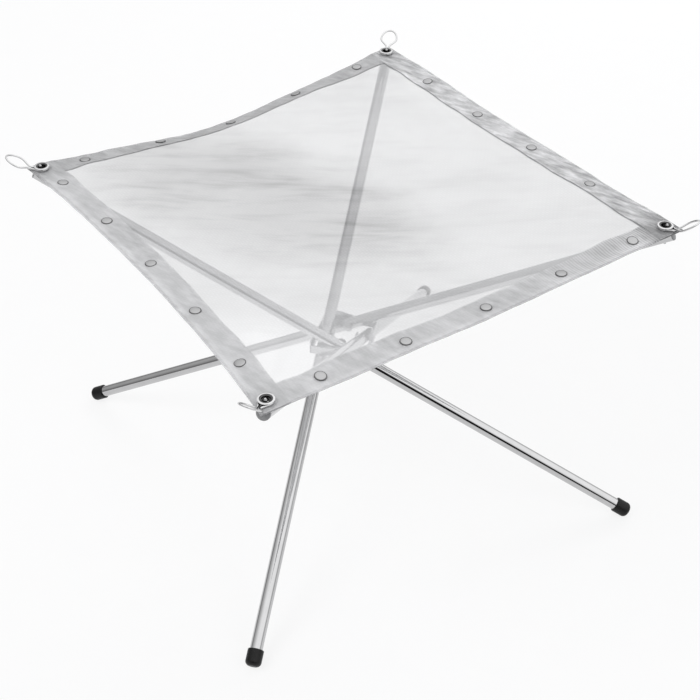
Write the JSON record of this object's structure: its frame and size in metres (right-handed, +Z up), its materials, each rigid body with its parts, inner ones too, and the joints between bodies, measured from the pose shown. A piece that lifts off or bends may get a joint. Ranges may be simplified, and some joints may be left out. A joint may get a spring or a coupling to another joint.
{
  "type": "folding fire pit",
  "caption": "Folding camp fire pit: a square of woven steel mesh hung by corner eyelets on crossed steel tubes that pivot in a small square hub and fold upright.",
  "frame": {"origin": "on the floor under the middle of the hub", "axes": "+Z up; +X to the right corner and +Y to the back corner, along the tubes"},
  "size_m": [0.6222, 0.6241, 0.3274],
  "materials": {
    "tube_steel": "bright drawn stainless steel",
    "sheet_steel": "satin stainless sheet",
    "rivet_steel": "satin",
    "eyelet_steel": "pressed and polished",
    "wire_steel": "bright drawn wire",
    "wire_mesh": "fine woven wire, see-through",
    "hem_mesh": "fine woven wire, folded in layers",
    "rubber": "matte black",
    "plug_plastic": "matte black"
  },
  "bodies": {
    "hub": {"hub_ring": "sheet_steel", "pivot_rivets": "rivet_steel", "pivot_washers": "rivet_steel"},
    "leg_left": {"tube_left": "tube_steel", "foot_left": "rubber", "plug_left": "plug_plastic", "peg_left": "rivet_steel"},
    "leg_back": {"tube_back": "tube_steel", "foot_back": "rubber", "plug_back": "plug_plastic", "peg_back": "rivet_steel"},
    "leg_right": {"tube_right": "tube_steel", "foot_right": "rubber", "plug_right": "plug_plastic", "peg_right": "rivet_steel"},
    "leg_front": {"tube_front": "tube_steel", "foot_front": "rubber", "plug_front": "plug_plastic", "peg_front": "rivet_steel"},
    "mesh_panel": {"mesh_sheet": "wire_mesh", "hem_front_right": "hem_mesh", "hem_back_right": "hem_mesh", "hem_left_back": "hem_mesh", "hem_left_front": "hem_mesh", "hem_rivets_front_right": "rivet_steel", "hem_rivets_back_right": "rivet_steel", "hem_rivets_left_back": "rivet_steel", "hem_rivets_left_front": "rivet_steel", "eyelet_left": "eyelet_steel", "eyelet_back": "eyelet_steel", "eyelet_right": "eyelet_steel", "eyelet_front": "eyelet_steel"},
    "ring_left": {"ring_left": "wire_steel"},
    "ring_back": {"ring_back": "wire_steel"},
    "ring_right": {"ring_right": "wire_steel"},
    "ring_front": {"ring_front": "wire_steel"}
  },
  "joints": [
    {"name": "left_leg_fold", "type": "hinge", "parent": "hub", "child": "leg_left", "pos_m": [0, -0.0185, 0.15394], "axis": [0, 1, 0], "range_deg": [0, 62]},
    {"name": "back_leg_fold", "type": "hinge", "parent": "hub", "child": "leg_back", "pos_m": [-0.0185, 0, 0.15394], "axis": [1, 0, 0], "range_deg": [0, 62]},
    {"name": "right_leg_fold", "type": "hinge", "parent": "hub", "child": "leg_right", "pos_m": [0, 0.0185, 0.15394], "axis": [0, -1, 0], "range_deg": [0, 62]},
    {"name": "front_leg_fold", "type": "hinge", "parent": "hub", "child": "leg_front", "pos_m": [0.0185, 0, 0.15394], "axis": [-1, 0, 0], "range_deg": [0, 62]},
    {"name": "mesh_lift", "type": "slide", "parent": "hub", "child": "mesh_panel", "axis": [0, 0, 1], "range_m": [0, 0.65]},
    {"name": "left_ring_swivel", "type": "hinge", "parent": "mesh_panel", "child": "ring_left", "pos_m": [-0.28138, -0.0185, 0.3104], "axis": [0, 0, 1], "continuous": true},
    {"name": "back_ring_swivel", "type": "hinge", "parent": "mesh_panel", "child": "ring_back", "pos_m": [-0.02832, 0.28121, 0.3104], "axis": [0, 0, 1], "continuous": true},
    {"name": "right_ring_swivel", "type": "hinge", "parent": "mesh_panel", "child": "ring_right", "pos_m": [0.28138, 0.0185, 0.3104], "axis": [0, 0, 1], "continuous": true},
    {"name": "front_ring_swivel", "type": "hinge", "parent": "mesh_panel", "child": "ring_front", "pos_m": [0.0185, -0.28138, 0.3104], "axis": [0, 0, 1], "continuous": true}
  ],
  "couplings": [
    {"joint": "back_leg_fold", "follows": "left_leg_fold", "ratio": 1},
    {"joint": "right_leg_fold", "follows": "left_leg_fold", "ratio": 1},
    {"joint": "front_leg_fold", "follows": "left_leg_fold", "ratio": 1},
    {"joint": "mesh_lift", "follows": "left_leg_fold", "m_per_rad": 0.6}
  ]
}
